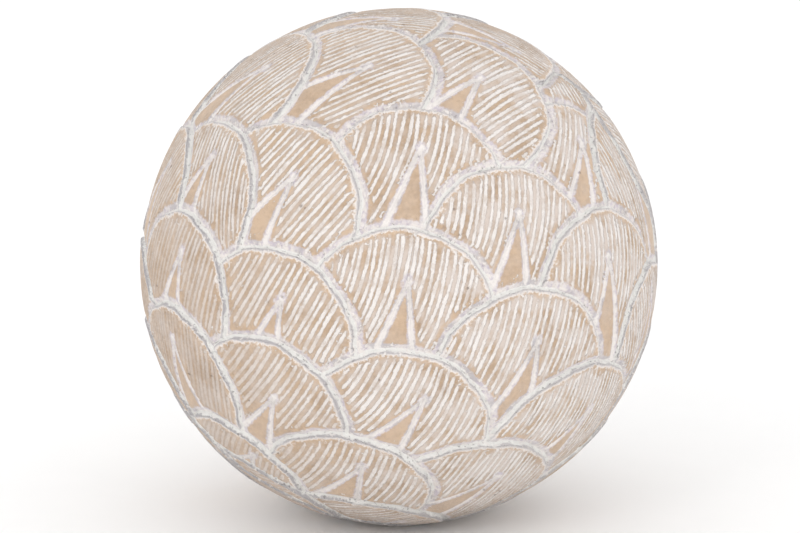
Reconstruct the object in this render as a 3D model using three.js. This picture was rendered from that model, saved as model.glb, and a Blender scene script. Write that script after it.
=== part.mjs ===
// Decorative ball, cast in tan resin and carved all over with overlapping round-topped scales.
// One solid piece. Millimetres, +Z up. The origin is the centre of the small flat under the ball.

import * as THREE from 'three';
import { ConvexGeometry } from 'three/addons/geometries/ConvexGeometry.js';
import { mergeVertices } from 'three/addons/utils/BufferGeometryUtils.js';

// ---------- driving dimensions, millimetres and degrees ----------

const BALL_RADIUS = 49.8;
const FLAT_RADIUS = 9.5;

// The scales run in rings round a pole and point to it. The pole is given as seen from the centre.
const POLE_AZIMUTH = -12.7;
const POLE_ELEVATION = 46.5;

// Turns round the pole start on the side of the ball's face.
const FACE_AZIMUTH = -90;
const FACE_ELEVATION = 15;

// The edge of a scale: a groove with a steep wall on the scale's own side.
const GROOVE_DEPTH = 0.85;
const WALL_WIDTH = 0.55;
const SLOPE_WIDTH = 1.7;

// A scale stands a little proud at its tip and sinks towards its root.
const TIP_LIFT = 0.2;
const ROOT_SINK = 0.15;
const SCALE_REACH = 24;

// The dart: two grooves that meet in a point and open towards the root of the scale.
const DART_POINT = 9.5;
const DART_LENGTH = 20;
const DART_HALF_ANGLE = 14;
const DART_DEPTH = 0.6;
const DART_POINT_WIDTH = 0.4;
const DART_ROOT_WIDTH = 1.0;

// Facets: the step along a groove, the spread of the plain ones and the least gap between corners.
const EDGE_STEP = 3.1;
const DART_STEP = 4;
const FIELD_SPREAD = 4.6;
const FIELD_GAP = 2.4;
const LEAST_GAP = 0.48;
const FLAT_SIDES = 24;

// Rings from the pole outwards: the angle from the pole to the tips, the number of scales, the turn
// of the middle one and the radius of their round tops, in degrees. Each scale lies over the one
// before it, from the first on: half way round the back, or where the ring says. The single scales
// at the two ends close the pattern and are plain, without a dart.
const RINGS = [
  { tip: -8, count: 1, turn: 55, radius: 13, plain: true },
  { tip: 6, count: 6, turn: -28, radius: 21, first: 1 },
  { tip: 33, count: 10, turn: -13, radius: 21.5 },
  { tip: 58, count: 10, turn: 6, radius: 22.5 },
  { tip: 82, count: 10, turn: -10, radius: 21 },
  { tip: 101, count: 10, turn: 3, radius: 19 },
  { tip: 120, count: 10, turn: -22, radius: 18.5 },
  { tip: 141, count: 8, turn: 8, radius: 17 },
  { tip: 158, count: 5, turn: 30, radius: 15 },
  { tip: 171, count: 1, turn: 0, radius: 9, plain: true },
];

// How far single scales stray from their ring, cut by hand as they are: [ring, place] names the
// scale, then the drop of its tip from the pole, its swing round the pole, its lean and the swell of
// its radius, in degrees, and how much higher its dart starts, in millimetres.
const STRAYS = [
  [1, 0, 6, -5, 30, 0, -3],
  [1, 1, -0.5, 6, 5],
  [1, 2, 0, 10, 0],
  [1, 3, 0, 8, 0],
  [2, -1, 3, -4, 10, 0, -3],
  [2, 0, 3, 2, 40],
  [2, 1, -2, -1, 26],
  [2, 2, -4, 1, 14],
  [2, 3, 9, -4, 0, -5],
  [3, -2, 3, -5, 0],
  [3, -1, 6, 0, 14],
  [3, 0, 0, 4, 32],
  [3, 1, -6, 1, 16],
  [3, 2, 5, -10, -8],
  [3, 3, 2, -6, 0],
  [4, -2, 0, -14, 0],
  [4, -1, 0, -3, 20, 0, 2],
  [4, 0, 2, 1, 22],
  [4, 1, -3, 1, 8],
  [4, 2, 5, -4, 0],
  [5, -2, -5, 0, 0],
  [5, -1, 0, -5, 18],
  [5, 0, 0, 0, 14, 0, -4.5],
  [5, 1, 3, -5, 25],
  [5, 2, 17, -14, 0],
  [5, 3, 4, -12, 0],
  [6, -1, 5, -8, 0],
  [6, 0, -1, -1, 40],
  [6, 1, 11, -1, 10, -3],
  [6, 2, 17, -10, 0],
  [6, 3, 8, -3, 0],
  [7, -1, 0, -14, 0],
  [7, 0, 9, -5, 0],
];

const { degToRad, clamp, lerp } = THREE.MathUtils;

// ---------- frames on the ball ----------

function direction(azimuth, elevation) {
  const level = Math.cos(degToRad(elevation));
  return new THREE.Vector3(
    level * Math.cos(degToRad(azimuth)),
    level * Math.sin(degToRad(azimuth)),
    Math.sin(degToRad(elevation)),
  );
}

const pole = direction(POLE_AZIMUTH, POLE_ELEVATION);
const face = direction(FACE_AZIMUTH, FACE_ELEVATION);
const front = face.clone().projectOnPlane(pole).normalize();
const side = new THREE.Vector3().crossVectors(pole, front);

// The direction at an angle from the pole and a turn round it, in degrees.
function fromPole(angle, turn) {
  const around = front.clone().multiplyScalar(Math.cos(degToRad(turn)))
    .addScaledVector(side, Math.sin(degToRad(turn)));
  return pole.clone().multiplyScalar(Math.cos(degToRad(angle)))
    .addScaledVector(around, Math.sin(degToRad(angle)));
}

// ---------- the scales ----------

// A scale is drawn flat round the centre of its round top: x to the right and y to the tip, in
// millimetres along the surface.
class Scale {
  constructor(tip, turn, radius, lean, dartPoint) {
    this.radius = degToRad(radius) * BALL_RADIUS;
    this.dartPoint = dartPoint;
    this.centre = fromPole(tip + radius, turn);
    const toPole = pole.clone().projectOnPlane(this.centre).normalize();
    this.up = toPole.applyAxisAngle(this.centre, degToRad(lean));
    this.right = new THREE.Vector3().crossVectors(this.up, this.centre);
  }

  // Millimetres on the drawing of a direction on the ball.
  drawn(point) {
    const angle = this.centre.angleTo(point);
    const x = point.dot(this.right);
    const y = point.dot(this.up);
    const size = Math.hypot(x, y);
    const stretch = size > 0 ? (angle * BALL_RADIUS) / size : 0;
    return [x * stretch, y * stretch];
  }

  // The direction on the ball of a place on the drawing.
  placed(x, y) {
    const size = Math.hypot(x, y);
    const angle = size / BALL_RADIUS;
    const point = this.centre.clone().multiplyScalar(Math.cos(angle));
    if (size > 0) {
      point.addScaledVector(this.right, (Math.sin(angle) * x) / size);
      point.addScaledVector(this.up, (Math.sin(angle) * y) / size);
    }
    return point;
  }

  // Distance in from the outline, negative outside.
  inset(x, y) {
    return this.radius - Math.hypot(x, y);
  }

  // The outline moved out by a distance, all the way round.
  outline(step, out) {
    const reach = this.radius + out;
    const count = Math.ceil((2 * Math.PI * this.radius) / step);
    return Array.from({ length: count }, (_, i) => {
      const angle = (2 * Math.PI * i) / count;
      return this.placed(reach * Math.sin(angle), reach * Math.cos(angle));
    });
  }

  // Depth of the dart's two grooves at a place on the drawing.
  dartDepth(x, y) {
    const down = this.dartPoint - y;
    if (down < 0) {
      return 0;
    }
    const slope = Math.tan(degToRad(DART_HALF_ANGLE));
    const width = lerp(DART_POINT_WIDTH, DART_ROOT_WIDTH, clamp(down / DART_LENGTH, 0, 1));
    const off = Math.abs(Math.abs(x) - down * slope);
    return DART_DEPTH * clamp(1 - off / width, 0, 1);
  }
}

// All scales in the order they lie, the hindmost first: each covers those nearer the pole and the
// one before it in its own ring.
function layScales() {
  const scales = [];
  RINGS.forEach((ring, number) => {
    const half = Math.floor(ring.count / 2);
    const first = ring.first ?? -half;
    for (let step = first; step < first + ring.count; step += 1) {
      const place = step < ring.count - half ? step : step - ring.count;
      const stray = STRAYS.find(([r, p]) => r === number && p === place) ?? [];
      const [, , drop = 0, swing = 0, lean = 0, swell = 0, rise = 0] = stray;
      const turn = ring.turn + (place * 360) / ring.count + swing;
      const dartPoint = ring.plain ? -Infinity : DART_POINT + rise;
      scales.push(new Scale(ring.tip + drop, turn, ring.radius + swell, lean, dartPoint));
    }
  });
  return scales;
}

const scales = layScales();

// ---------- the surface ----------

// The number of the foremost scale over a point, or -1 where there is none.
function ownerOf(point) {
  for (let i = scales.length - 1; i >= 0; i -= 1) {
    const [x, y] = scales[i].drawn(point);
    if (scales[i].inset(x, y) >= 0) {
      return i;
    }
  }
  return -1;
}

// Distance from the ball's centre to its carved surface.
function surfaceRadius(point) {
  const owner = ownerOf(point);
  let cut = 0;
  for (let i = owner + 1; i < scales.length; i += 1) {
    const [x, y] = scales[i].drawn(point);
    cut = Math.max(cut, 1 + scales[i].inset(x, y) / SLOPE_WIDTH);
  }
  if (owner < 0) {
    return BALL_RADIUS - GROOVE_DEPTH * cut;
  }
  const scale = scales[owner];
  const [x, y] = scale.drawn(point);
  cut = Math.max(cut, 1 - scale.inset(x, y) / WALL_WIDTH);
  const fromTip = clamp((scale.radius - y) / SCALE_REACH, 0, 1);
  const lift = lerp(TIP_LIFT, -ROOT_SINK, fromTip);
  return BALL_RADIUS + lift * (1 - cut) - Math.max(GROOVE_DEPTH * cut, scale.dartDepth(x, y));
}

// ---------- the corners of the facets ----------

const centreHeight = Math.sqrt(BALL_RADIUS ** 2 - FLAT_RADIUS ** 2);
const flatAngle = Math.asin(FLAT_RADIUS / BALL_RADIUS);
const down = new THREE.Vector3(0, 0, -1);
const corners = [];

// Keeps a corner if it is clear of the flat and far enough from every corner so far.
function addCorner(point, gap) {
  if (down.angleTo(point) < flatAngle + gap / BALL_RADIUS) {
    return;
  }
  const near = Math.cos(gap / BALL_RADIUS);
  if (corners.every((other) => other.dot(point) < near)) {
    corners.push(point);
  }
}

// Corners along one line of a scale's outline, where no scale in front hides it.
function addOutline(number, out) {
  scales[number].outline(EDGE_STEP, out).forEach((point) => {
    const hidden = scales.some((other, i) => {
      const [x, y] = other.drawn(point);
      return i > number && other.inset(x, y) > -WALL_WIDTH;
    });
    if (!hidden) {
      addCorner(point, LEAST_GAP);
    }
  });
}

// Corners along both legs of a scale's dart, on the floor of the groove and on its shoulders.
function addDart(number) {
  const slope = Math.tan(degToRad(DART_HALF_ANGLE));
  for (let length = 0; length <= DART_LENGTH; length += DART_STEP) {
    const width = lerp(DART_POINT_WIDTH, DART_ROOT_WIDTH, length / DART_LENGTH);
    for (const leg of [-1, 1]) {
      for (const shoulder of [0, -width, width]) {
        const x = leg * length * slope + shoulder;
        const point = scales[number].placed(x, scales[number].dartPoint - length);
        if (ownerOf(point) === number) {
          addCorner(point, LEAST_GAP);
        }
      }
    }
  }
}

// Evenly spread corners over the ball, in a spiral from top to bottom.
function addField() {
  const count = Math.round((4 * Math.PI * BALL_RADIUS ** 2) / FIELD_SPREAD ** 2);
  const goldenTurn = Math.PI * (3 - Math.sqrt(5));
  for (let i = 0; i < count; i += 1) {
    const height = 1 - (2 * i + 1) / count;
    const level = Math.sqrt(1 - height ** 2);
    const turn = i * goldenTurn;
    addCorner(new THREE.Vector3(level * Math.cos(turn), level * Math.sin(turn), height), FIELD_GAP);
  }
}

function addFlat() {
  for (let i = 0; i < FLAT_SIDES; i += 1) {
    const turn = (i * 2 * Math.PI) / FLAT_SIDES;
    const level = Math.sin(flatAngle);
    corners.push(new THREE.Vector3(
      level * Math.cos(turn),
      level * Math.sin(turn),
      -Math.cos(flatAngle),
    ));
  }
  corners.push(down.clone());
}

for (let number = 0; number < scales.length; number += 1) {
  addOutline(number, 0);
}
for (let number = 0; number < scales.length; number += 1) {
  addOutline(number, -WALL_WIDTH);
  addOutline(number, SLOPE_WIDTH);
}
for (let number = 0; number < scales.length; number += 1) {
  if (Number.isFinite(scales[number].dartPoint)) {
    addDart(number);
  }
}
addField();
addFlat();

// ---------- the carved ball ----------

// The facets join neighbouring corners on a true sphere. Each corner then moves in or out to the
// carved surface, or onto the flat.
function makeBall() {
  const hull = new ConvexGeometry(corners);
  hull.deleteAttribute('normal');
  const geometry = mergeVertices(hull);
  const position = geometry.getAttribute('position');
  const point = new THREE.Vector3();
  for (let i = 0; i < position.count; i += 1) {
    point.fromBufferAttribute(position, i).normalize();
    const onFlat = down.angleTo(point) < flatAngle * 1.001;
    const reach = onFlat ? centreHeight / -point.z : surfaceRadius(point);
    point.multiplyScalar(reach);
    position.setXYZ(i, point.x, point.y, point.z + centreHeight);
  }
  geometry.computeVertexNormals();
  return geometry;
}

const resin = new THREE.MeshStandardMaterial({
  color: new THREE.Color(0xd8c4b4),
  roughness: 0.75,
  metalness: 0,
});

const ball = new THREE.Mesh(makeBall(), resin);
ball.name = 'carved_ball';

const part = new THREE.Group();
part.add(ball);

export default part;
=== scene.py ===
"""Looks of a carved table ball: cast tan resin, cut all over with overlapping scales and limewashed.

The ball is one piece. Its skin is laid out from the same rings of scales as the solid that it
stands for, and adds the fine hatch that is cut along every scale. Lengths in the pattern are in
millimetres round a ball centred on the origin; the finished mesh is in metres, in the row frame.
"""

import logging
import math
import random
from dataclasses import dataclass, field
from enum import Enum
from functools import reduce
from typing import Iterator, NamedTuple

import bmesh
import bpy
import numpy as np
from mathutils import Matrix, Vector, noise
from mathutils.geometry import delaunay_2d_cdt


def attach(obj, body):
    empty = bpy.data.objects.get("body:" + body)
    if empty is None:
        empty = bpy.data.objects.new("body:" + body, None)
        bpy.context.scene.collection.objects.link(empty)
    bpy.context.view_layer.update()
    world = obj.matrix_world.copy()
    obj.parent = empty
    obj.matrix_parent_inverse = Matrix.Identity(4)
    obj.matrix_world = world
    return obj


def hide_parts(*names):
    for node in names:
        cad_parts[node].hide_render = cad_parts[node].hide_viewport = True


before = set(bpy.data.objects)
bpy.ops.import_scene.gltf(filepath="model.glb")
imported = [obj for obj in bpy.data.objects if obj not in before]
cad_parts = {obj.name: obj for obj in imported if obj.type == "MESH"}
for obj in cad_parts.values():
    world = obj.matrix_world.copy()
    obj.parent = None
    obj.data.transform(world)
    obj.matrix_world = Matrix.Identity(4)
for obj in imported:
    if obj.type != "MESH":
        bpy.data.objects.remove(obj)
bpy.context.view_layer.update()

log = logging.getLogger("carved_ball")

BALL_NODE = "carved_ball"
CUTS_ATTRIBUTE = "cuts"
WASH_ATTRIBUTE = "wash"
BAKE_MAP = "OFBake"
MM = 0.001
CENTIMETRE = 10.0
FAR = 99.0
TINY = 1e-12
GOLDEN_SHARE = 0.618
Array = np.ndarray
Pair = tuple[float, float]
Triple = tuple[float, float, float]


# ---- the pattern of scales


@dataclass(frozen=True)
class Ring:
    """One ring of scales round the pole: angles in degrees, counted from the pole.

    tip is the angle to the tips, count the number of scales, turn that of the middle one, radius
    that of their round tops, and first the place that is laid first, under all the others. A plain
    ring has no darts.
    """

    tip: float
    count: int
    turn: float
    radius: float
    first: int | None = None
    plain: bool = False


class Stray(NamedTuple):
    """How far one hand-cut scale strays from its ring, in degrees and millimetres.

    drop moves it away from the pole, swing round it, lean turns it about its own centre and swell
    widens it. rise lifts the point of its dart, in millimetres. sway slants its hatch, and curl is
    how much more the hatch slants one centimetre further down.
    """

    drop: float = 0.0
    swing: float = 0.0
    lean: float = 0.0
    swell: float = 0.0
    rise: float = 0.0
    sway: float = 2.0
    curl: float = 7.0


RINGS = (
    Ring(tip=-8, count=1, turn=55, radius=13, plain=True),
    Ring(tip=6, count=6, turn=-28, radius=21, first=1),
    Ring(tip=33, count=10, turn=-13, radius=21.5),
    Ring(tip=58, count=10, turn=6, radius=22.5),
    Ring(tip=82, count=10, turn=-10, radius=21),
    Ring(tip=101, count=10, turn=3, radius=19),
    Ring(tip=120, count=10, turn=-22, radius=18.5),
    Ring(tip=141, count=8, turn=8, radius=17),
    Ring(tip=158, count=5, turn=30, radius=15),
    Ring(tip=171, count=1, turn=0, radius=9, plain=True),
)

STRAYS = {
    (1, 0): Stray(6, -5, 30, rise=-3, sway=10, curl=-1),
    (1, 1): Stray(-0.5, 6, 5, sway=12, curl=3),
    (1, 2): Stray(0, 10, 0, sway=13, curl=2),
    (1, 3): Stray(0, 8, 0),
    (2, -1): Stray(3, -4, 10, rise=-3, sway=-1.5, curl=7),
    (2, 0): Stray(3, 2, 40, sway=7.5, curl=13),
    (2, 1): Stray(-2, -1, 26, sway=5, curl=12),
    (2, 2): Stray(-4, 1, 14, sway=7, curl=8),
    (2, 3): Stray(9, -4, 0, swell=-5, sway=-19, curl=4),
    (3, -2): Stray(3, -5, 0, sway=-14, curl=12),
    (3, -1): Stray(6, 0, 14, sway=2.5, curl=3),
    (3, 0): Stray(0, 4, 32, sway=5, curl=13),
    (3, 1): Stray(-6, 1, 16, sway=3, curl=6),
    (3, 2): Stray(5, -10, -8, sway=-19, curl=13),
    (3, 3): Stray(2, -6, 0),
    (4, -2): Stray(0, -14, 0),
    (4, -1): Stray(0, -3, 20, rise=2, sway=-32.5, curl=0),
    (4, 0): Stray(2, 1, 22, sway=9, curl=5),
    (4, 1): Stray(-3, 1, 8, sway=-6, curl=13),
    (4, 2): Stray(5, -4, 0, sway=-21, curl=-2),
    (5, -2): Stray(-5, 0, 0),
    (5, -1): Stray(0, -5, 18, sway=0, curl=2),
    (5, 0): Stray(0, 0, 14, rise=-4.5, sway=8, curl=9),
    (5, 1): Stray(3, -5, 25, sway=1.5, curl=9),
    (5, 2): Stray(17, -14, 0),
    (5, 3): Stray(4, -12, 0),
    (6, -1): Stray(5, -8, 0),
    (6, 0): Stray(-1, -1, 40, sway=11, curl=15),
    (6, 1): Stray(11, -1, 10, swell=-3, sway=-12, curl=0),
    (6, 2): Stray(17, -10, 0),
    (6, 3): Stray(8, -3, 0),
    (7, -1): Stray(0, -14, 0),
    (7, 0): Stray(9, -5, 0),
}


def unit(vector: Array) -> Array:
    """Return the vector at length one."""
    return vector / np.linalg.norm(vector)


def direction(azimuth: float, elevation: float) -> Array:
    """Return the direction at degrees round +Z from +X and at degrees above the level."""
    (x, y), (level, z) = ((math.cos(a), math.sin(a)) for a in np.radians((azimuth, elevation)))
    return np.array([level * x, level * y, z])


class Lumps(NamedTuple):
    """Soft unevenness: how many lumps to the ball's radius, how high, and the noise's start."""

    density: float
    height: float
    start: Triple = (0.0, 0.0, 0.0)

    def read(self, points: Array) -> Array:
        """Return the heights at directions, round zero."""
        places = (Vector(point) * self.density + Vector(self.start) for point in points)
        return self.height * np.array([noise.noise(place) for place in places])


@dataclass
class Scale:
    """A round scale, drawn flat round its centre with x to the right and y to the tip.

    waves holds the count, the height and the shift of each wave of its hand-cut outline.
    """

    centre: Array
    up: Array
    radius: float
    ball_radius: float
    dart_point: float
    stray: Stray
    wobble: float
    waves: tuple[tuple[int, float, int], ...] = ((8, 0.17, 1), (19, 0.09, 3))
    right: Array = field(init=False)

    def __post_init__(self) -> None:
        """Work out the direction to the right of the scale."""
        self.right = np.cross(self.up, self.centre)

    def outline(self, turn: Array) -> Array:
        """Return how far the outline is from the centre at turns from the tip, in radians."""
        waves = (h * np.sin(n * turn + shift * self.wobble) for n, h, shift in self.waves)
        return sum(waves, self.radius)

    def inset(self, x: Array, y: Array) -> Array:
        """Return how far in from the outline places on the drawing are, negative outside."""
        return self.outline(np.arctan2(x, y)) - np.hypot(x, y)

    def drawn(self, points: Array) -> tuple[Array, Array]:
        """Flatten directions on the ball to the scale's drawing.

        Args:
            points: Directions, one a row.

        Returns:
            The x and y of each, in millimetres along the surface.
        """
        x, y = points @ self.right, points @ self.up
        size = np.maximum(np.hypot(x, y), TINY)
        angle = np.arccos(np.clip(points @ self.centre, -1, 1))
        stretch = angle * self.ball_radius / size
        return x * stretch, y * stretch

    def placed(self, x: Array, y: Array) -> Array:
        """Lay places on the drawing back on the ball.

        Args:
            x: Millimetres to the right.
            y: Millimetres towards the tip.

        Returns:
            Directions, one a row.
        """
        size = np.maximum(np.hypot(x, y), TINY)
        angle = size / self.ball_radius
        across = np.outer(x / size, self.right) + np.outer(y / size, self.up)
        return np.cos(angle)[:, None] * self.centre + np.sin(angle)[:, None] * across


@dataclass
class Reading:
    """What lies at each of many directions on the ball.

    owner is the foremost scale's number, x and y the place on its drawing, inset the distance in
    from its outline, and lead the distance to the nearest outline that lies in front.
    """

    owner: Array
    x: Array
    y: Array
    inset: Array
    lead: Array


@dataclass
class Pattern:
    """All the scales in the order they lie, and the depth of what is cut into them."""

    ball_radius: float = 49.8
    pole_azimuth: float = -12.7
    pole_elevation: float = 46.5
    face_azimuth: float = -90.0
    face_elevation: float = 15.0
    groove_depth: float = 0.85
    wall_width: float = 0.42
    wall_reach: float = 1.5
    lip: float = 0.09
    lip_width: float = 0.4
    lip_reach: float = 1.0
    slope_width: float = 1.7
    slope_curve: float = 1.15
    floor_line: float = 0.05
    tip_lift: float = 0.2
    root_sink: float = 0.15
    scale_reach: float = 24.0
    dart_point: float = 9.5
    dart_length: float = 20.0
    dart_half_angle: float = 14.0
    dart_depth: float = 0.6
    dart_point_width: float = 0.4
    dart_root_width: float = 1.0
    dart_wash: float = 0.3
    dart_blob: float = 1.6
    blob_wash: float = 0.8
    dart_sink: float = 0.08
    no_dart: float = -1000.0
    scales: list[Scale] = field(default_factory=list)

    def __post_init__(self) -> None:
        """Lay the scales, the hindmost first."""
        self.dart_slope = math.tan(math.radians(self.dart_half_angle))
        pole = direction(self.pole_azimuth, self.pole_elevation)
        face = direction(self.face_azimuth, self.face_elevation)
        front = unit(face - (face @ pole) * pole)
        side = np.cross(pole, front)
        for number, ring in enumerate(RINGS):
            half = ring.count // 2
            first = -half if ring.first is None else ring.first
            for step in range(first, first + ring.count):
                place = step if step < ring.count - half else step - ring.count
                stray = STRAYS.get((number, place), Stray())
                angle = math.radians(ring.tip + stray.drop + ring.radius + stray.swell)
                turn = math.radians(ring.turn + place * 360 / ring.count + stray.swing)
                around = math.cos(turn) * front + math.sin(turn) * side
                centre = math.cos(angle) * pole + math.sin(angle) * around
                up = unit(pole - (pole @ centre) * centre)
                lean = math.radians(stray.lean)
                up = math.cos(lean) * up + math.sin(lean) * np.cross(centre, up)
                radius = math.radians(ring.radius + stray.swell) * self.ball_radius
                dart = self.no_dart if ring.plain else self.dart_point + stray.rise
                wobble = float(len(self.scales))
                self.scales.append(
                    Scale(centre, up, radius, self.ball_radius, dart, stray, wobble))

    def read(self, points: Array) -> Reading:
        """Find the foremost scale over each direction.

        Args:
            points: Directions, one a row.

        Returns:
            What lies there.
        """
        count = len(points)
        found = Reading(np.full(count, -1), *(np.full(count, FAR) for _ in range(4)))
        for number, scale in enumerate(self.scales):
            x, y = scale.drawn(points)
            inset = scale.inset(x, y)
            over = inset >= 0
            found.owner[over] = number
            found.x[over], found.y[over] = x[over], y[over]
            found.inset[over] = inset[over]
            found.lead = np.where(over, FAR, np.minimum(found.lead, -inset))
        return found

    def dart_width(self, down: Array) -> Array:
        """Return the half width of a dart's grooves at distances below its point."""
        share = np.clip(down / self.dart_length, 0, 1)
        return self.dart_point_width + share * (self.dart_root_width - self.dart_point_width)

    def dart(self, x: Array, down: Array) -> tuple[Array, Array, Array]:
        """Measure the dart: two grooves that part from a point near the tip.

        Args:
            x: Places on the scale's drawing.
            down: Distances below the dart's point.

        Returns:
            The share of the groove's depth, from 0 to 1, how far inside the dart, in millimetres
            and negative outside, and the share of limewash on it.
        """
        width = self.dart_width(down)
        inside = down * self.dart_slope - np.abs(x)
        inside = np.where(down >= 0, inside, -np.hypot(x, down))
        groove = np.where(down >= 0, np.clip(1 - np.abs(inside) / width, 0, 1), 0)
        wash = np.clip(1 - np.abs(inside) / (width + self.dart_wash), 0, 1)
        blob = self.blob_wash * np.clip(1 - np.hypot(x, down) / self.dart_blob, 0, 1)
        return groove, inside, np.maximum(wash, blob)


# ---- the net of lines


@dataclass
class Net:
    """Corners of the skin, gathered line by line, none closer to another than its gap."""

    ball_radius: float
    cell: float = 0.8
    points: list[list[float]] = field(default_factory=list)
    edges: list[tuple[int, int]] = field(default_factory=list)
    fullness: list[float] = field(default_factory=list)
    hatched: list[float] = field(default_factory=list)
    cells: dict[tuple[int, ...], list[int]] = field(default_factory=dict)

    def crowded(self, spot: list[float], gap: float) -> bool:
        """Tell whether a corner lies within a gap of a place.

        Args:
            spot: The place.
            gap: In millimetres.

        Returns:
            Whether one does.
        """
        home = [int(c // self.cell) for c in spot]
        reach = range(-1, 2)
        for i in reach:
            for j in reach:
                for k in reach:
                    near = self.cells.get((home[0] + i, home[1] + j, home[2] + k), ())
                    for other in near:
                        if math.dist(spot, self.points[other]) < gap:
                            return True
        return False

    def add(self, points: Array, gap: float, linked: bool = True,
            full: Array | None = None) -> None:
        """Add a line of corners, and an edge between each two neighbours that are kept.

        Args:
            points: Directions along the line, one a row.
            gap: The least distance to other corners, in millimetres.
            linked: Whether the line's corners are joined by edges.
            full: How full the hatch stroke is at each, or None off the hatch.
        """
        last = -1
        for i, spot in enumerate((points * self.ball_radius).tolist()):
            if self.crowded(spot, gap):
                last = -1
                continue
            number = len(self.points)
            self.points.append(spot)
            self.fullness.append(0.0 if full is None else float(full[i]))
            self.hatched.append(float(full is not None))
            key = tuple(int(c // self.cell) for c in spot)
            self.cells.setdefault(key, []).append(number)
            if linked and last >= 0:
                self.edges.append((last, number))
            last = number


def runs(kept: Array) -> Iterator[slice]:
    """Return the slice of each unbroken run of true values."""
    marks = np.flatnonzero(np.diff(np.concatenate(([0], kept.astype(int), [0]))))
    return map(slice, marks[::2].tolist(), marks[1::2].tolist())


# ---- the ball


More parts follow.
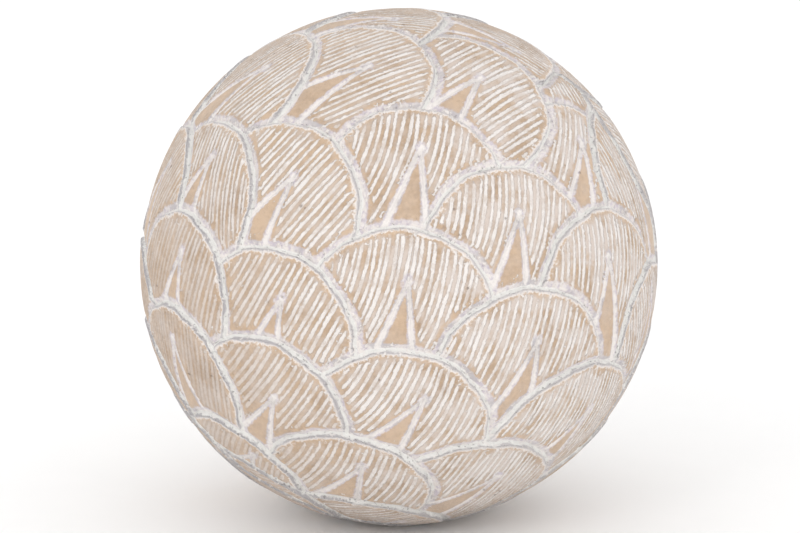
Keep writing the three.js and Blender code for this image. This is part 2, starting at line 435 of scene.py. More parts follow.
@dataclass
class CarvedBall:
    """The ball: its net of cuts, its skin, its flat and its finish."""

    pattern: Pattern
    flat_radius: float = 9.5
    flat_sides: int = 72
    flat_margin: float = 0.4
    edge_step: float = 0.85
    edge_rails: tuple[float, ...] = (0.0, -0.42, 0.42, 0.95, 1.5, -0.8, 1.95, -1.15)
    hidden_margin: float = 0.1
    dart_step: float = 0.9
    dart_rails: tuple[float, ...] = (0.0, -1.0, 1.0, -0.5, 0.5, -1.6, 1.6)
    dart_clearance: float = 0.75
    hatch_pitch: float = 1.36
    pitch_spread: Pair = (0.93, 1.07)
    start_spread: Pair = (-0.12, 0.12)
    wave_height: Pair = (0.04, 0.16)
    wave_length: float = 2.6
    hatch_row: float = 1.0
    hatch_half_width: float = 0.5
    hatch_depth: float = 0.3
    hatch_fade: float = 0.9
    hatch_start: float = 0.5
    hatch_middle: float = 11.0
    hatch_flat_margin: float = 1.0
    shortest_hatch: float = 1.8
    tip_gap: Triple = (0.65, 2.2, 0.8)
    root_gap: Pair = (0.1, 0.6)
    stroke_strength: Pair = (0.75, 1.15)
    stroke_evenness: Pair = (0.8, 1.1)
    stroke_width: Pair = (0.7, 0.3)
    field_spread: float = 1.25
    field_gap: float = 0.75
    least_gap: float = 0.26
    merge_gap: float = 1e-7
    crumb_reach: float = 4.0
    wander: Lumps = Lumps(9.0, 1.0)
    wander_shares: Pair = (0.22, 0.15)
    broad: Lumps = Lumps(4.5, 0.45, (1, 9, 4))
    lumps: Lumps = Lumps(30.0, 0.22, (7, 3, 5))
    lump_depth: float = 0.4
    grain: Lumps = Lumps(42.0, 0.035)
    bake_half: float = 0.47
    seed: int = 7

    def __post_init__(self) -> None:
        """Work out where the flat cuts the ball."""
        self.ball_radius = self.pattern.ball_radius
        self.centre_height = math.sqrt(self.ball_radius**2 - self.flat_radius**2)
        self.flat_angle = math.asin(self.flat_radius / self.ball_radius)
        self.chance = random.Random(self.seed)
        self.net = Net(self.ball_radius)

    def clear_of_flat(self, points: Array, gap: float) -> Array:
        """Tell which directions keep a gap, in millimetres, to the rim of the flat."""
        return points[:, 2] > -math.cos(self.flat_angle + gap / self.ball_radius)

    def lay_rail(self, points: Array, number: int, linked: bool) -> None:
        """Lay a line along a cut of one scale, where no scale in front covers it.

        Args:
            points: Directions along the line.
            number: The scale's number.
            linked: Whether the line's corners are joined by edges.
        """
        shown = self.clear_of_flat(points, self.flat_margin)
        for scale in self.pattern.scales[number + 1:]:
            x, y = scale.drawn(points)
            shown &= scale.inset(x, y) < -self.hidden_margin
        for run in runs(shown):
            self.net.add(points[run], self.least_gap, linked)

    def lay_edges(self) -> None:
        """Lay lines along the edge groove of every scale, the floors first."""
        for rail in self.edge_rails:
            for number, scale in enumerate(self.pattern.scales):
                count = math.ceil(2 * math.pi * scale.radius / self.edge_step)
                angle = 2 * math.pi * np.arange(count + 1) / count
                reach = scale.outline(angle) + rail
                points = scale.placed(reach * np.sin(angle), reach * np.cos(angle))
                self.lay_rail(points, number, linked=rail == 0.0)

    def lay_darts(self) -> None:
        """Lay lines along the two legs of every scale's dart."""
        pattern = self.pattern
        down = np.arange(0, pattern.dart_length, self.dart_step)
        width = pattern.dart_width(down)
        for number, scale in enumerate(pattern.scales):
            if scale.dart_point == pattern.no_dart:
                continue
            for rail in self.dart_rails:
                for leg in (-1, 1):
                    x = leg * down * pattern.dart_slope + rail * width
                    points = scale.placed(x, scale.dart_point - down)
                    self.lay_rail(points, number, linked=rail == 0.0)

    def lay_hatch(self) -> None:
        """Lay three lines, rim, floor and rim, along every hatch stroke of every scale."""
        chance = self.chance
        for number, scale in enumerate(self.pattern.scales[:-1]):
            rows = np.arange(scale.radius, -scale.radius, -self.hatch_row)
            fall = scale.radius - rows
            pitch = self.hatch_pitch * chance.uniform(*self.pitch_spread)
            slant = math.radians(scale.stray.sway) * fall
            bend = math.radians(scale.stray.curl) * (fall - self.hatch_middle) ** 2
            slant += bend / (2 * CENTIMETRE)
            reach = math.ceil((scale.radius + abs(slant).max()) / pitch)
            shift = chance.uniform(-0.5, 0.5)
            for stroke in range(-reach, reach + 1):
                start = (stroke + shift + chance.uniform(*self.start_spread)) * pitch
                wave = chance.uniform(*self.wave_height)
                phase = chance.uniform(0, 2 * math.pi)
                x = start - slant + wave * np.sin(rows / self.wave_length + phase)
                self.lay_stroke(number, x, rows)

    def lay_stroke(self, number: int, x: Array, rows: Array) -> None:
        """Lay one hatch stroke where it shows.

        Args:
            number: The scale that it is cut into.
            x: Its middle at each row of the scale's drawing.
            rows: The rows, from the tip down.
        """
        net, chance = self.net, self.chance
        scale = self.pattern.scales[number]
        tip_gap = chance.triangular(*self.tip_gap)
        root_gap = chance.uniform(*self.root_gap)
        strength = chance.uniform(*self.stroke_strength)
        middle = scale.placed(x, rows)
        found = self.pattern.read(middle)
        inside = self.pattern.dart(x, scale.dart_point - rows)[1]
        kept = (found.owner == number) & (found.inset > tip_gap) & (found.lead > root_gap)
        kept &= inside < -self.dart_clearance
        kept &= self.clear_of_flat(middle, self.hatch_flat_margin)
        base, gain = self.stroke_width
        for run in runs(kept):
            along = np.arange(run.stop - run.start) * self.hatch_row
            to_end = np.minimum(along, along[-1] - along)
            if along[-1] < self.shortest_hatch:
                continue
            fade = np.clip((self.hatch_start + to_end) / self.hatch_fade, 0, 1)
            uneven = np.array([chance.uniform(*self.stroke_evenness) for _ in along])
            net.add(middle[run], self.least_gap, full=strength * fade * uneven)
            for rim in (-1, 1):
                edge = x[run] + rim * self.hatch_half_width * (base + gain * strength)
                net.add(scale.placed(edge, rows[run]), self.least_gap, full=np.zeros(len(edge)))

    def lay_field(self) -> None:
        """Fill the bare ground between the lines with evenly spread corners."""
        count = round(4 * math.pi * self.ball_radius**2 / self.field_spread**2)
        step = np.arange(count)
        height = 1 - (2 * step + 1) / count
        level = np.sqrt(1 - height**2)
        turn = step * math.pi * (3 - math.sqrt(5))
        points = np.column_stack((level * np.cos(turn), level * np.sin(turn), height))
        kept = self.clear_of_flat(points, self.field_gap)
        self.net.add(points[kept], self.field_gap, False)

    def lay_rim(self) -> None:
        """Lay the rim of the flat, the net's last corners."""
        turn = 2 * math.pi * np.arange(self.flat_sides) / self.flat_sides
        level = math.sin(self.flat_angle)
        height = np.full(self.flat_sides, -math.cos(self.flat_angle))
        points = np.column_stack((level * np.cos(turn), level * np.sin(turn), height))
        self.net.add(points, 0.0)

    def relief(self, points: Array, depth: Array) -> tuple[Array, Array]:
        """Work out how far each corner lies from the ball's centre and how the cuts mark it.

        Args:
            points: Directions, one a row.
            depth: The hatch depth at each, in millimetres.

        Returns:
            The distances in millimetres, and a row of marks for each: how deep on an edge groove's
            slope, on its wall and in a dart, and how near it is to a groove.
        """
        pattern = self.pattern
        found = pattern.read(points)
        owned = found.owner >= 0
        groove_wander, dart_wander = np.outer(self.wander_shares, self.wander.read(points))
        width = pattern.slope_width * (1 + groove_wander + self.broad.read(points))
        slope = np.clip(1 - found.lead / width, 0, 1)
        wall = np.clip(1 - found.inset / pattern.wall_width, 0, 1)
        nearest = np.minimum(found.inset, found.lead)
        on_floor = np.clip(1 - nearest / pattern.floor_line, 0, 1)
        cut = np.maximum(np.maximum(slope**pattern.slope_curve, wall), on_floor)
        past_wall = np.clip((found.inset - pattern.wall_width) / pattern.lip_width, -1, 1)
        lip = np.where(found.inset < pattern.lip_reach, pattern.lip * np.cos(2 * past_wall), 0)
        radii, dart_points = np.array(
            [(scale.radius, scale.dart_point) for scale in pattern.scales])[found.owner].T
        groove, inside, dart_wash = pattern.dart(found.x, dart_points - found.y)
        groove = np.where(owned, groove, 0) * (1 + dart_wander)
        sunk = np.where(owned, np.clip(inside, 0, 1), 0) * pattern.dart_sink
        from_tip = np.clip((radii - found.y) / pattern.scale_reach, 0, 1)
        lift = pattern.tip_lift - from_tip * (pattern.tip_lift + pattern.root_sink)
        lift = np.where(owned, lift, 0)
        deep = np.maximum(pattern.groove_depth * cut, pattern.dart_depth * groove)
        deep = deep - self.lumps.read(points) * np.clip(deep / self.lump_depth, 0, 1)
        reach = self.ball_radius + (lift + lip) * (1 - cut) - deep - sunk - depth
        reach += self.grain.read(points)
        near = np.clip(1 - nearest / self.crumb_reach, 0, 1)
        ledge = np.maximum(np.clip(1 - found.inset / pattern.wall_reach, 0, 1), on_floor)
        dart_wash = np.where(owned, dart_wash, 0)
        return reach, np.column_stack((np.maximum(slope, on_floor), ledge, dart_wash, near))

    def triangulate(self) -> tuple[Array, list[list[int]], Array]:
        """Join the net's corners to triangles on the ball, with its edges among their sides.

        The ball is opened at the flat and spread on a plane by a projection that keeps circles
        round, so the triangles are the best-shaped ones on the ball too.

        Returns:
            The corners' directions, the triangles, and the net's own number of each corner.
        """
        spots = np.array(self.net.points) / self.ball_radius
        flat = [Vector(spot) for spot in (spots[:, :2] / (1 + spots[:, 2:])).tolist()]
        corners, _, faces, origin, _, _ = delaunay_2d_cdt(
            flat, self.net.edges, [], 0, self.merge_gap)
        plane = np.array([tuple(corner) for corner in corners])
        square = (plane**2).sum(axis=1)
        points = np.column_stack((2 * plane[:, 0], 2 * plane[:, 1], 1 - square))
        points /= (1 + square)[:, None]
        return points, faces, np.array([numbers[0] if numbers else -1 for numbers in origin])

    def skin(self) -> bpy.types.Object:
        """Build the ball's closed mesh from its net.

        Returns:
            The ball's object, without a material.
        """
        points, faces, own = self.triangulate()
        on_rim = own >= len(self.net.points) - self.flat_sides
        full, hatched = (np.where(own >= 0, np.array(kept)[own], 0)
                         for kept in (self.net.fullness, self.net.hatched))
        reach, marks = self.relief(points, self.hatch_depth * full)
        reach = np.where(on_rim, self.centre_height / -points[:, 2], reach)
        places = points * reach[:, None]
        places[:, 2] = np.maximum(places[:, 2] + self.centre_height, 0)
        places *= MM

        bm = bmesh.new()
        verts = [bm.verts.new(place) for place in places.tolist()]
        for face in faces:
            bm.faces.new([verts[i] for i in face]).smooth = True
        sole = [verts[i] for i in np.flatnonzero(on_rim)]
        bmesh.ops.contextual_create(bm, geom=sole)
        bmesh.ops.recalc_face_normals(bm, faces=bm.faces)
        bmesh.ops.triangulate(bm, faces=[face for face in bm.faces if len(face.verts) > 3])
        mesh = bpy.data.meshes.new("carved_ball_skin")
        bm.to_mesh(mesh)
        bm.free()
        tint = (np.maximum(self.pattern.read(points).owner, 0) * GOLDEN_SHARE) % 1.0
        self.colour_in(mesh, CUTS_ATTRIBUTE, marks)
        washes = (np.clip(full, 0, 1), tint, hatched, np.ones(len(points)))
        self.colour_in(mesh, WASH_ATTRIBUTE, np.column_stack(washes))
        self.unwrap(mesh)
        ball = bpy.data.objects.new("carved_ball_skin", mesh)
        bpy.context.scene.collection.objects.link(ball)
        return ball

    @staticmethod
    def colour_in(mesh: bpy.types.Mesh, name: str, rows: Array) -> None:
        """Keep rows of four values at the mesh's corners, as an attribute of that name."""
        layer = mesh.attributes.new(name, "FLOAT_COLOR", "POINT")
        layer.data.foreach_set("color", rows.astype(np.float32).ravel())

    def unwrap(self, mesh: bpy.types.Mesh) -> None:
        """Lay the skin out for baking as the six sides of a box around the ball.

        Args:
            mesh: The ball's mesh.
        """
        places = np.empty(len(mesh.vertices) * 3)
        mesh.vertices.foreach_get("co", places)
        places = places.reshape(-1, 3) - (0, 0, self.centre_height * MM)
        corners = np.empty(len(mesh.loops), np.int32)
        mesh.loops.foreach_get("vertex_index", corners)
        spots = places[corners.reshape(-1, 3)]
        middles = spots.mean(axis=1)
        axis = np.abs(middles).argmax(axis=1)
        ahead = np.take_along_axis(middles, axis[:, None], 1)[:, 0] > 0
        side = axis * 2 + ahead
        pick = np.repeat(axis[:, None], 3, 1)[:, :, None]
        depth, across, along = (
            np.take_along_axis(spots, (pick + turn) % 3, 2)[:, :, 0] for turn in range(3))
        spread = self.bake_half / (math.pi / 4)
        u, v = (np.arctan(way / np.abs(depth)) * spread + 0.5 for way in (across, along))
        u = (u + (side % 3)[:, None]) / 3
        v = (v + (side // 3)[:, None]) / 2
        layer = mesh.uv_layers.new(name=BAKE_MAP)
        layer.data.foreach_set("uv", np.stack((u, v), axis=-1).astype(np.float32).ravel())

    def build(self, finish: "LimewashedResin") -> bpy.types.Object:
        """Build the whole ball and let it stand for the solid.

        Args:
            finish: What the ball is made of and washed with.

        Returns:
            The finished ball.
        """
        self.lay_edges()
        self.lay_darts()
        self.lay_hatch()
        log.info("grooves, darts and hatch: %d corners", len(self.net.points))
        self.lay_field()
        self.lay_rim()
        ball = self.skin()
        ball.data.materials.append(finish.material())
        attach(ball, "root")
        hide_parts(BALL_NODE)
        log.info("ball: %d corners, %d triangles", len(ball.data.vertices),
                 len(ball.data.polygons))
        return ball


# ---- finishes


class Blend(Enum):
    """How a value moves between the two ends of its range."""

    STRAIGHT = "LINEAR"
    SOFT = "SMOOTHSTEP"


Socket = bpy.types.NodeSocket
Colour = tuple[float, float, float, float]
Ramp = tuple[float, float, float, float]
MIX_UNDER, MIX_OVER, MIX_RESULT = 6, 7, 2


class Patches(NamedTuple):
    """Random patches: their size in millimetres and the detail and roughness of their noise.

    They start where the noise is at low, are full at high, and give start and end there.
    """

    size: float
    detail: float
    rough: float
    low: float = 0.0
    high: float = 1.0
    start: float = 0.0
    end: float = 1.0
    blend: Blend = Blend.STRAIGHT


class Wash(NamedTuple):
    """A wash left in a cut: the depths, from 0 to 1, where it starts and is full.

    ragged is how uneven its edge is, and strength how much of the ground it hides.
    """

    start: float
    full: float
    ragged: float
    strength: float = 1.0


class Specks(NamedTuple):
    """Scattered specks: their size in millimetres and the detail and roughness of their noise.

    They show where the noise passes a level, which falls from far to close as the nearness of a
    groove goes from start to 1. edge is how soft they end and strength how much they hide.
    """

    size: float
    detail: float
    rough: float
    start: float
    far: float
    close: float
    edge: float
    strength: float


@dataclass
class Bench:
    """A node tree on the bench, with short ways to add nodes and to wire them."""

    tree: bpy.types.NodeTree

    def feed(self, inputs: bpy.types.NodeInputs, values: object) -> None:
        """Wire a node's inputs to sockets, or set their values.

        Args:
            inputs: The node's inputs.
            values: Sockets or plain values, in order, or by the inputs' names.
        """
        pairs = values.items() if isinstance(values, dict) else enumerate(values)
        for key, value in pairs:
            if isinstance(value, Socket):
                self.tree.links.new(value, inputs[key])
            else:
                inputs[key].default_value = value

    def node(self, kind: str, values: object = (), output: object = 0,
             **settings: object) -> Socket:
        """Add a node.

        Args:
            kind: The node's Blender type.
            values: What its inputs take, in order or by name.
            output: The name or number of the output that is wanted.
            settings: Properties to set on it.

        Returns:
            That output's socket.
        """
        made = self.tree.nodes.new(kind)
        for name, value in settings.items():
            setattr(made, name, value)
        self.feed(made.inputs, values)
        return made.outputs[output]

    def math(self, operation: str, first: object, second: object, clamp: bool = False) -> Socket:
        """Work out a value from two others, kept between 0 and 1 where it is clamped."""
        return self.node("ShaderNodeMath", (first, second), operation=operation, use_clamp=clamp)

    def times(self, first: object, second: object, clamp: bool = False) -> Socket:
        """Multiply two values."""
        return self.math("MULTIPLY", first, second, clamp)

    def plus(self, first: object, second: object) -> Socket:
        """Add two values."""
        return self.math("ADD", first, second)

    def less(self, first: object, second: object) -> Socket:
        """Take the second value from the first."""
        return self.math("SUBTRACT", first, second)

    def most(self, *values: object) -> Socket:
        """Return the greatest of some values."""
        return reduce(lambda first, second: self.math("MAXIMUM", first, second), values)

    def mix(self, share: object, under: object, over: object) -> Socket:
        """Lay one colour over another, by the upper one's share."""
        inputs = {"Factor": share, MIX_UNDER: under, MIX_OVER: over}
        return self.node("ShaderNodeMix", inputs, MIX_RESULT, data_type="RGBA")

    def range(self, value: object, low: object, high: object, start: object = 0.0,
              end: object = 1.0, blend: Blend = Blend.STRAIGHT) -> Socket:
        """Move a value from between low and high to between start and end, and keep it there."""
        values = (value, low, high, start, end)
        return self.node("ShaderNodeMapRange", values, interpolation_type=blend.value)

    def cloud(self, where: object, size: object, detail: float, rough: float) -> Socket:
        """Read soft noise round one half, in patches of a size in the unit of the place."""
        return self.node("ShaderNodeTexNoise", {
            "Vector": where, "Scale": self.math("DIVIDE", 1.0, size), "Detail": detail,
            "Roughness": rough})

    def group(self, tree: bpy.types.NodeTree, *values: object) -> Socket:
        """Place a node group, and return its output."""
        return self.node("ShaderNodeGroup", values, node_tree=tree)

    def place(self) -> Socket:
        """Read the place in the piece's own frame, in metres."""
        return self.node("ShaderNodeTexCoord", output="Object")

    def marks(self, name: str) -> list[Socket]:
        """Read the four values that an attribute keeps at each corner.

        Args:
            name: The attribute's name.

        Returns:
            Their sockets.
        """
        kept = self.node("ShaderNodeAttribute", attribute_name=name).node.outputs
        split = self.node("ShaderNodeSeparateColor", (kept["Color"],)).node.outputs
        return [*split, kept["Alpha"]]

    def shade(self, values: dict[str, object]) -> None:
        """Feed the shader's inputs, by name."""
        self.feed(self.tree.nodes["Principled BSDF"].inputs, values)


def new_group(name: str, inputs: dict[str, float | None], output: str) -> Bench:
    """Start a shader node group that puts out one value.

    Args:
        name: The group's name.
        inputs: The first value of each number that it takes, and None for a vector.
        output: The name of its output.

    Returns:
        The group on a bench, with its two end nodes added.
    """
    tree = bpy.data.node_groups.new(name, "ShaderNodeTree")
    for label, value in inputs.items():
        kind = "NodeSocketVector" if value is None else "NodeSocketFloat"
        socket = tree.interface.new_socket(label, in_out="INPUT", socket_type=kind)
        if value is not None:
            socket.default_value = value
    tree.interface.new_socket(output, in_out="OUTPUT", socket_type="NodeSocketFloat")
    tree.nodes.new("NodeGroupInput").name = "given"
    tree.nodes.new("NodeGroupOutput").name = "made"
    return Bench(tree)


def ragged_cover_group() -> bpy.types.NodeTree:
    """Make the group that turns depth in a cut into paint with an uneven, crumbly edge.

    Returns:
        The group. It puts out Cover, from bare at 0 to fully painted at 1.
    """
    fine_share, middle, least_depth = 1.5, 1.25, 0.12
    inputs = {"Where": None, "Depth": 0.0, "Start": 0.2, "Full": 0.6, "Ragged": 0.3}
    bench = new_group("ragged_cover", inputs, "Cover")
    given = bench.tree.nodes["given"].outputs
    broad = bench.cloud(given["Where"], size=2.4, detail=2.0, rough=0.55)
    fine = bench.cloud(given["Where"], size=0.6, detail=2.0, rough=0.6)
    both = bench.plus(broad, bench.times(fine, fine_share))
    shaken = bench.times(bench.less(both, middle), given["Ragged"])
    depth = bench.plus(given["Depth"], shaken)
    cover = bench.range(depth, given["Start"], given["Full"], blend=Blend.SOFT)
    touched = bench.range(given["Depth"], 0.0, least_depth)
    bench.feed(bench.tree.nodes["made"].inputs, (bench.times(cover, touched),))
    return bench.tree


def fine_grain_group() -> bpy.types.NodeTree:
    """Make the group for the fine unevenness of a cast or plastered surface.

    Returns:
        The group. It puts out Height, round one half.
    """
    finer_size, coarse_share, finer_share = 0.25, 0.7, 0.3
    bench = new_group("fine_grain", {"Where": None, "Size": 1.0}, "Height")
    given = bench.tree.nodes["given"].outputs
    coarse = bench.cloud(given["Where"], given["Size"], detail=4.0, rough=0.6)
    finer = bench.times(given["Size"], finer_size)
    finer = bench.cloud(given["Where"], finer, detail=2.0, rough=0.6)
    mixed = bench.plus(bench.times(coarse, coarse_share), bench.times(finer, finer_share))
    bench.feed(bench.tree.nodes["made"].inputs, (mixed,))
    return bench.tree


@dataclass
class Groups:
    """The shader node groups, each built once."""

    ragged_cover: bpy.types.NodeTree = field(default_factory=ragged_cover_group)
    fine_grain: bpy.types.NodeTree = field(default_factory=fine_grain_group)


def srgb(red: int, green: int, blue: int) -> Colour:
    """Turn a colour as painters' charts give it, 0 to 255, into linear light."""
    light = [part / 12.92 if part <= 0.04045 else ((part + 0.055) / 1.055) ** 2.4
             for part in (red / 255, green / 255, blue / 255)]
    return (*light, 1.0)


@dataclass
class LimewashedResin:
    """Matte tan resin with a white and lavender-grey limewash in all its cuts, and painted shade in
    the grooves.
    """

    groups: Groups
    ball_radius: float
    centre_height: float
    hazy_side: Triple = (0.9, -0.43, -0.05)
    # The side where the hatch is worn thin and the groove walls get more painted shade.
    bare_and_shaded_side: Triple = (-0.93, -0.2, -0.31)
    tan_light: Colour = srgb(199, 173, 147)
    tan_dark: Colour = srgb(166, 142, 120)
    wash_white: Colour = srgb(234, 228, 224)
    wash_cream: Colour = srgb(234, 232, 228)
    wash_blush: Colour = srgb(205, 192, 183)
    wash_grey: Colour = srgb(193, 184, 196)
    # Painted shade: the grey of the shade line along the groove walls and of the shade patches in
    # the bands.
    painted_shade_grey: Colour = srgb(180, 176, 179)
    nick_grey: Colour = srgb(128, 119, 118)
    pit_brown: Colour = srgb(128, 104, 88)
    blotches: Patches = Patches(7.0, 4.0, 0.6)
    mottle: Patches = Patches(1.1, 3.0, 0.65)
    tone_shares: Triple = (0.9, 0.95, 0.12)
    bare_tones: Pair = (0.18, -0.03)
    tones: Pair = (0.72, 1.3)
    haze: Patches = Patches(5.5, 4.0, 0.65, 0.4, 0.62, 0.0, 0.9)
    bare_haze: float = 0.2
    haze_sides: Ramp = (-0.1, 0.9, 0.4, 1.6)
    crust: Patches = Patches(1.1, 4.0, 0.7, 0.34, 0.6, 0.1, 1.0, Blend.SOFT)
    crust_depths: Ramp = (0.05, 0.75, 0.45, 1.15)
    # Painted shade: random patches of the shade grey over the groove bands.
    shade_patches: Patches = Patches(4.0, 3.0, 0.6, 0.47, 0.63, 0.0, 0.7, Blend.SOFT)
    worn: Patches = Patches(3.0, 4.0, 0.65, 0.36, 0.52, 0.4, 1.0)
    worn_sides: Ramp = (0.45, 0.95, 1.0, 0.25)
    # Painted shade: how much stronger the groove-wall shade line is towards the bare side.
    shade_line_sides: Ramp = (-0.3, 0.7, 0.5, 0.8)
    swing: Patches = Patches(3.2, 2.0, 0.5, 0.3, 0.7, -0.14, 0.14)
    core_slope: float = 0.7
    core_wall: float = 0.74
    band_wash: Wash = Wash(0.02, 0.32, 0.3, 0.92)
    soft_wash: Wash = Wash(0.0, 0.3, 0.2, 0.5)
    stroke_wash: Wash = Wash(0.16, 0.46, 0.5)
    leg_wash: Wash = Wash(0.05, 0.4, 0.4, 0.9)
    floor_wash: Wash = Wash(0.38, 0.75, 0.5, 0.9)
    ledge_wash: Wash = Wash(0.16, 0.5, 0.7, 0.85)
    # Painted shade: a grey line painted along the groove walls.
    shade_line_wash: Wash = Wash(0.42, 0.7, 0.45)
    core_wash: Wash = Wash(0.1, 0.6, 0.45)
    crumbs: Specks = Specks(1.0, 3.0, 0.6, 0.0, 0.7, 0.57, 0.05, 0.85)
    nicks: Specks = Specks(0.7, 2.0, 0.7, 0.5, 0.76, 0.63, 0.04, 0.5)
    pit_spacing: float = 5.5
    pit_edge: Pair = (0.03, 0.06)
    pit_strength: float = 0.5
    roughness: Pair = (0.62, 0.9)
    grain_size: float = 0.9
    wash_height: float = 0.25
    bump_strength: float = 0.8
    bump_height: float = 0.0003
    shine: float = 0.3
    sheen: float = 0.2
    sheen_roughness: float = 0.5

    def __post_init__(self) -> None:
        """Start the material, and read the ball's marks and the place in millimetres."""
        self.made = bpy.data.materials.new("limewashed_resin")
        self.made.use_nodes = True
        self.bench = bench = Bench(self.made.node_tree)
        self.slope, self.wall, self.dart, self.near = bench.marks(CUTS_ATTRIBUTE)
        self.hatch, self.scale_tint, self.hatched, _ = bench.marks(WASH_ATTRIBUTE)
        place = {0: bench.place(), "Scale": 1 / MM}
        self.where = bench.node("ShaderNodeVectorMath", place, operation="SCALE")
        self.colour = self.tan_light

    def cloud(self, kind: Patches) -> Socket:
        """Read the noise of some patches as it is."""
        return self.bench.cloud(self.where, kind.size, kind.detail, kind.rough)

    def patches(self, kind: Patches) -> Socket:
        """Read how far each place lies in one of some patches."""
        return self.bench.range(self.cloud(kind), *kind[3:])

    def tint(self, share: object, colour: object) -> None:
        """Lay a colour over what is there, by its share."""
        self.colour = self.bench.mix(share, self.colour, colour)

    def coat(self, depth: Socket, wash: Wash, colour: object, limit: object = 1.0) -> Socket:
        """Lay a wash where cuts hold it.

        Args:
            depth: Depth in the cut, from 0 to 1.
            wash: How it lies in the cut.
            colour: Its colour.
            limit: How much of it is left, from 0 to 1.

        Returns:
            How far each place is covered.
        """
        cover = self.bench.group(self.groups.ragged_cover, self.where, depth, *wash[:3])
        cover = self.bench.times(cover, limit)
        self.tint(self.bench.times(cover, wash.strength), colour)
        return cover

    def scatter(self, specks: Specks, colour: object) -> Socket:
        """Scatter specks, more of them near a groove.

        Args:
            specks: Their kind.
            colour: Their colour.

        Returns:
            1 on a speck and 0 between them.
        """
        bench = self.bench
        grain = bench.cloud(self.where, specks.size, specks.detail, specks.rough)
        level = bench.range(self.near, specks.start, 1.0, specks.far, specks.close)
        shown = bench.range(bench.less(grain, level), 0.0, specks.edge, blend=Blend.SOFT)
        self.tint(bench.times(shown, specks.strength), colour)
        return shown

    def facing(self, toward: Triple) -> Socket:
        """Tell how far round the ball towards a direction each place lies.

        Args:
            toward: The direction, of length one.

        Returns:
            1 on that side, falling to 0 half way round, and 0 beyond.
        """
        along = self.bench.node("ShaderNodeVectorMath", (self.where, toward), "Value",
                                operation="DOT_PRODUCT")
        middle = toward[2] * self.centre_height
        return self.bench.range(along, middle, middle + self.ball_radius)

    def lay_ground(self) -> None:
        """Lay the mottled tan of the resin, a little lighter where no hatch is cut."""
        bench = self.bench
        tone = bench.range(self.hatched, 0.0, 1.0, *self.bare_tones)
        layers = (self.cloud(self.blotches), self.cloud(self.mottle), self.scale_tint)
        for layer, share in zip(layers, self.tone_shares):
            tone = bench.plus(tone, bench.times(layer, share))
        self.colour = bench.mix(bench.range(tone, *self.tones), self.tan_dark, self.tan_light)

    def lay_haze(self) -> None:
        """Lay a blushing haze over the hatched ground, most of it on the hazy side."""
        bench = self.bench
        ground = bench.range(self.hatched, 0.0, 1.0, self.bare_haze, 1.0)
        side = bench.range(self.facing(self.hazy_side), *self.haze_sides)
        share = bench.times(self.patches(self.haze), ground)
        self.tint(bench.times(share, side, clamp=True), self.wash_blush)

    def band_colour(self) -> Socket:
        """Mix the colour of the bands along the grooves.

        Returns:
            Grey, with white clots and random patches of painted shade.
        """
        bench = self.bench
        deep = bench.range(bench.most(self.slope, self.dart), *self.crust_depths)
        clots = bench.times(self.patches(self.crust), deep, clamp=True)
        clotted = bench.mix(clots, self.wash_grey, self.wash_white)
        # Painted shade: random patches of the shade grey darken the bands.
        return bench.mix(self.patches(self.shade_patches), clotted, self.painted_shade_grey)

    def deepest(self) -> Socket:
        """Find the bottom of the grooves, wandering a little in its width.

        Returns:
            0 on their sides, rising to 1 at the bottom.
        """
        bench, swing = self.bench, self.patches(self.swing)
        slope = bench.range(self.slope, bench.less(self.core_slope, swing), 1.0)
        wall = bench.range(self.wall, bench.plus(self.core_wall, swing), 1.0)
        return bench.most(slope, wall)

    def lay_pits(self) -> Socket:
        """Set small pits here and there.

        Returns:
            1 in a pit and 0 between them.
        """
        cells = {"Vector": self.where, "Scale": 1 / self.pit_spacing}
        distance = self.bench.node("ShaderNodeTexVoronoi", cells, "Distance")
        pits = self.bench.range(distance, *self.pit_edge, 1.0, 0.0)
        self.tint(self.bench.times(pits, self.pit_strength), self.pit_brown)
        return pits

    def roughen(self, painted: Socket, covered: Socket, holes: Socket) -> Socket:
        """Raise the wash and its crust over the grain of the resin.

        Args:
            painted: Where the wash is thick.
            covered: Where any wash lies.
            holes: Where nicks and pits are.

        Returns:
            The normal.
        """
        bench = self.bench
        grain = bench.group(self.groups.fine_grain, self.where, self.grain_size)
        height = bench.plus(grain, bench.times(painted, self.wash_height))
        height = bench.plus(height, bench.times(covered, self.cloud(self.crust)))
        return bench.node("ShaderNodeBump", {
            "Strength": self.bump_strength, "Distance": self.bump_height,
            "Height": bench.less(height, holes)})

    def material(self) -> bpy.types.Material:
        """Lay all the washes, one over another.

        Returns:
            The material, which reads the ball's own attributes and Object coordinates.
        """
        bench, left = self.bench, self.facing(self.bare_and_shaded_side)
        shown = bench.range(left, *self.worn_sides)
        worn = bench.times(self.patches(self.worn), shown)
        # Painted shade: the groove-wall shade line is stronger towards the bare side.
        shade_side = bench.range(left, *self.shade_line_sides)
        band_colour = self.band_colour()
        self.lay_ground()
        self.lay_haze()
        band = self.coat(self.slope, self.band_wash, band_colour)
        self.coat(self.hatch, self.soft_wash, self.wash_blush, shown)
        stroke = self.coat(self.hatch, self.stroke_wash, self.wash_white, worn)
        leg = self.coat(self.dart, self.leg_wash, band_colour)
        floor = self.coat(self.dart, self.floor_wash, self.wash_white)
        self.coat(self.wall, self.ledge_wash, self.wash_white)
        # Painted shade: a grey line along the groove walls, stronger towards the bare side.
        self.coat(self.wall, self.shade_line_wash, self.painted_shade_grey, shade_side)
        core = self.coat(self.deepest(), self.core_wash, self.wash_cream)
        crumbs = self.scatter(self.crumbs, self.wash_white)
        holes = bench.plus(self.scatter(self.nicks, self.nick_grey), self.lay_pits())
        painted = bench.most(stroke, core, floor, crumbs)
        covered = bench.most(band, leg, painted)
        bench.shade({
            "Base Color": self.colour,
            "Roughness": bench.range(painted, 0.0, 1.0, *self.roughness),
            "Normal": self.roughen(painted, covered, holes),
            "Specular IOR Level": self.shine,
            "Sheen Weight": self.sheen,
            "Sheen Roughness": self.sheen_roughness,
        })
        return self.made


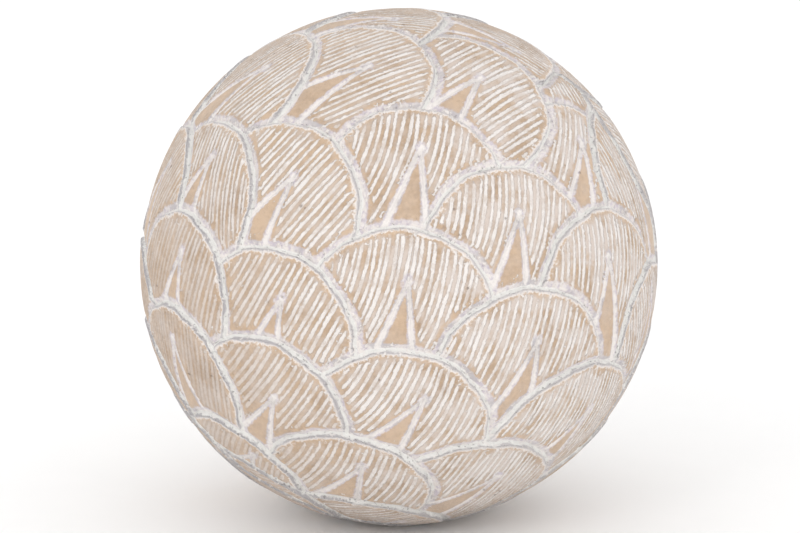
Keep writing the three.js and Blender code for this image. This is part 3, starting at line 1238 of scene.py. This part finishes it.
@dataclass(frozen=True)
class StudioPaper:
    """Matte white paper with a faint, cloudy tooth, whose size is in metres."""

    groups: Groups
    white: Colour = srgb(250, 250, 250)
    shade: Colour = srgb(246, 246, 246)
    tooth: float = 0.05
    roughness: float = 0.95
    shine: float = 0.1

    def material(self) -> bpy.types.Material:
        """Build the material.

        Returns:
            The material, on Object coordinates.
        """
        material = bpy.data.materials.new("studio_paper")
        material.use_nodes = True
        bench = Bench(material.node_tree)
        grain = bench.group(self.groups.fine_grain, bench.place(), self.tooth)
        bench.shade({
            "Base Color": bench.mix(grain, self.shade, self.white),
            "Roughness": self.roughness,
            "Specular IOR Level": self.shine,
        })
        return material


# ---- the studio


class Lamp(NamedTuple):
    """A square soft lamp, facing the ball.

    Its azimuth is in degrees to the camera's right of the front, its elevation in degrees above
    the level, its distance and the size of its side in metres and its power in watts.
    """

    name: str
    azimuth: float
    elevation: float
    distance: float
    size: float
    power: float


def look_from(toward: Vector, distance: float, aim: Vector) -> Matrix:
    """Place a thing at a distance from a point, towards a direction, so that it faces it."""
    turn = toward.to_track_quat("Z", "Y").to_matrix().to_4x4()
    return Matrix.Translation(aim + toward * distance) @ turn


@dataclass
class Studio:
    """A pale floor, soft light from all round and large soft lamps."""

    groups: Groups
    floor_size: float = 12.0
    floor_squares: int = 8
    world_strength: float = 1.1
    lamps: tuple[Lamp, ...] = (
        Lamp("key", -32.0, 26.0, 1.6, 0.5, 2.7),
        Lamp("front", 14.0, 5.0, 1.8, 0.5, 3.7),
        Lamp("right", 62.0, 3.0, 1.8, 0.5, 2.2),
    )

    def build(self) -> None:
        """Build the floor, the soft world and the lamps."""
        bm = bmesh.new()
        squares = self.floor_squares
        bmesh.ops.create_grid(bm, x_segments=squares, y_segments=squares,
                              size=self.floor_size / 2)
        mesh = bpy.data.meshes.new("studio_floor")
        bm.to_mesh(mesh)
        bm.free()
        mesh.materials.append(StudioPaper(self.groups).material())
        floor = bpy.data.objects.new("studio_floor", mesh)
        bpy.context.scene.collection.objects.link(floor)
        self.light_world()
        for lamp in self.lamps:
            self.hang(lamp)
        log.info("studio: floor and %d lamps", len(self.lamps))

    def light_world(self) -> None:
        """Light the studio evenly from all round."""
        scene = bpy.context.scene
        scene.world = bpy.data.worlds.new("studio")
        scene.world.use_nodes = True
        sky = scene.world.node_tree.nodes["Background"]
        sky.inputs["Color"].default_value = (1.0, 1.0, 1.0, 1.0)
        sky.inputs["Strength"].default_value = self.world_strength
        scene.view_settings.view_transform = "Standard"

    def hang(self, lamp: Lamp) -> None:
        """Hang one lamp.

        Args:
            lamp: What it is and where it hangs.
        """
        light = bpy.data.lights.new(lamp.name, "AREA")
        light.size = lamp.size
        light.energy = lamp.power
        made = bpy.data.objects.new(lamp.name, light)
        toward = Vector(direction(lamp.azimuth - 90, lamp.elevation).tolist())
        made.matrix_world = look_from(toward, lamp.distance, Vector((0, 0, 0)))
        bpy.context.scene.collection.objects.link(made)


@dataclass
class Camera:
    """A long lens in front of the ball, a little above it.

    ball_share is the ball's radius in the picture as a share of the picture's width.
    """

    elevation: float = 15.0
    lens: float = 600.0
    sensor: float = 36.0
    ball_share: float = 0.32275
    aside: float = 0.00023
    far_end: float = 100.0

    def build(self, ball_radius: float, centre_height: float) -> None:
        """Aim the camera at the ball's centre.

        Args:
            ball_radius: In metres.
            centre_height: Of the ball's centre, in metres.
        """
        data = bpy.data.cameras.new("front")
        data.lens = self.lens
        data.sensor_width = self.sensor
        data.clip_end = self.far_end
        distance = ball_radius / math.sin(math.atan(self.ball_share * self.sensor / self.lens))
        camera = bpy.data.objects.new("front", data)
        aim = Vector((self.aside, 0.0, centre_height))
        toward = Vector(direction(-90, self.elevation).tolist())
        camera.matrix_world = look_from(toward, distance, aim)
        bpy.context.scene.collection.objects.link(camera)
        bpy.context.scene.camera = camera
        log.info("camera: %.2f m away", distance)


def main() -> None:
    """Build the camera, the studio and the ball."""
    logging.basicConfig(level=logging.INFO, format="%(message)s")
    groups = Groups()
    ball = CarvedBall(Pattern())
    Camera().build(ball.ball_radius * MM, ball.centre_height * MM)
    Studio(groups).build()
    ball.build(LimewashedResin(groups, ball.ball_radius, ball.centre_height))


if __name__ == "__main__":
    main()
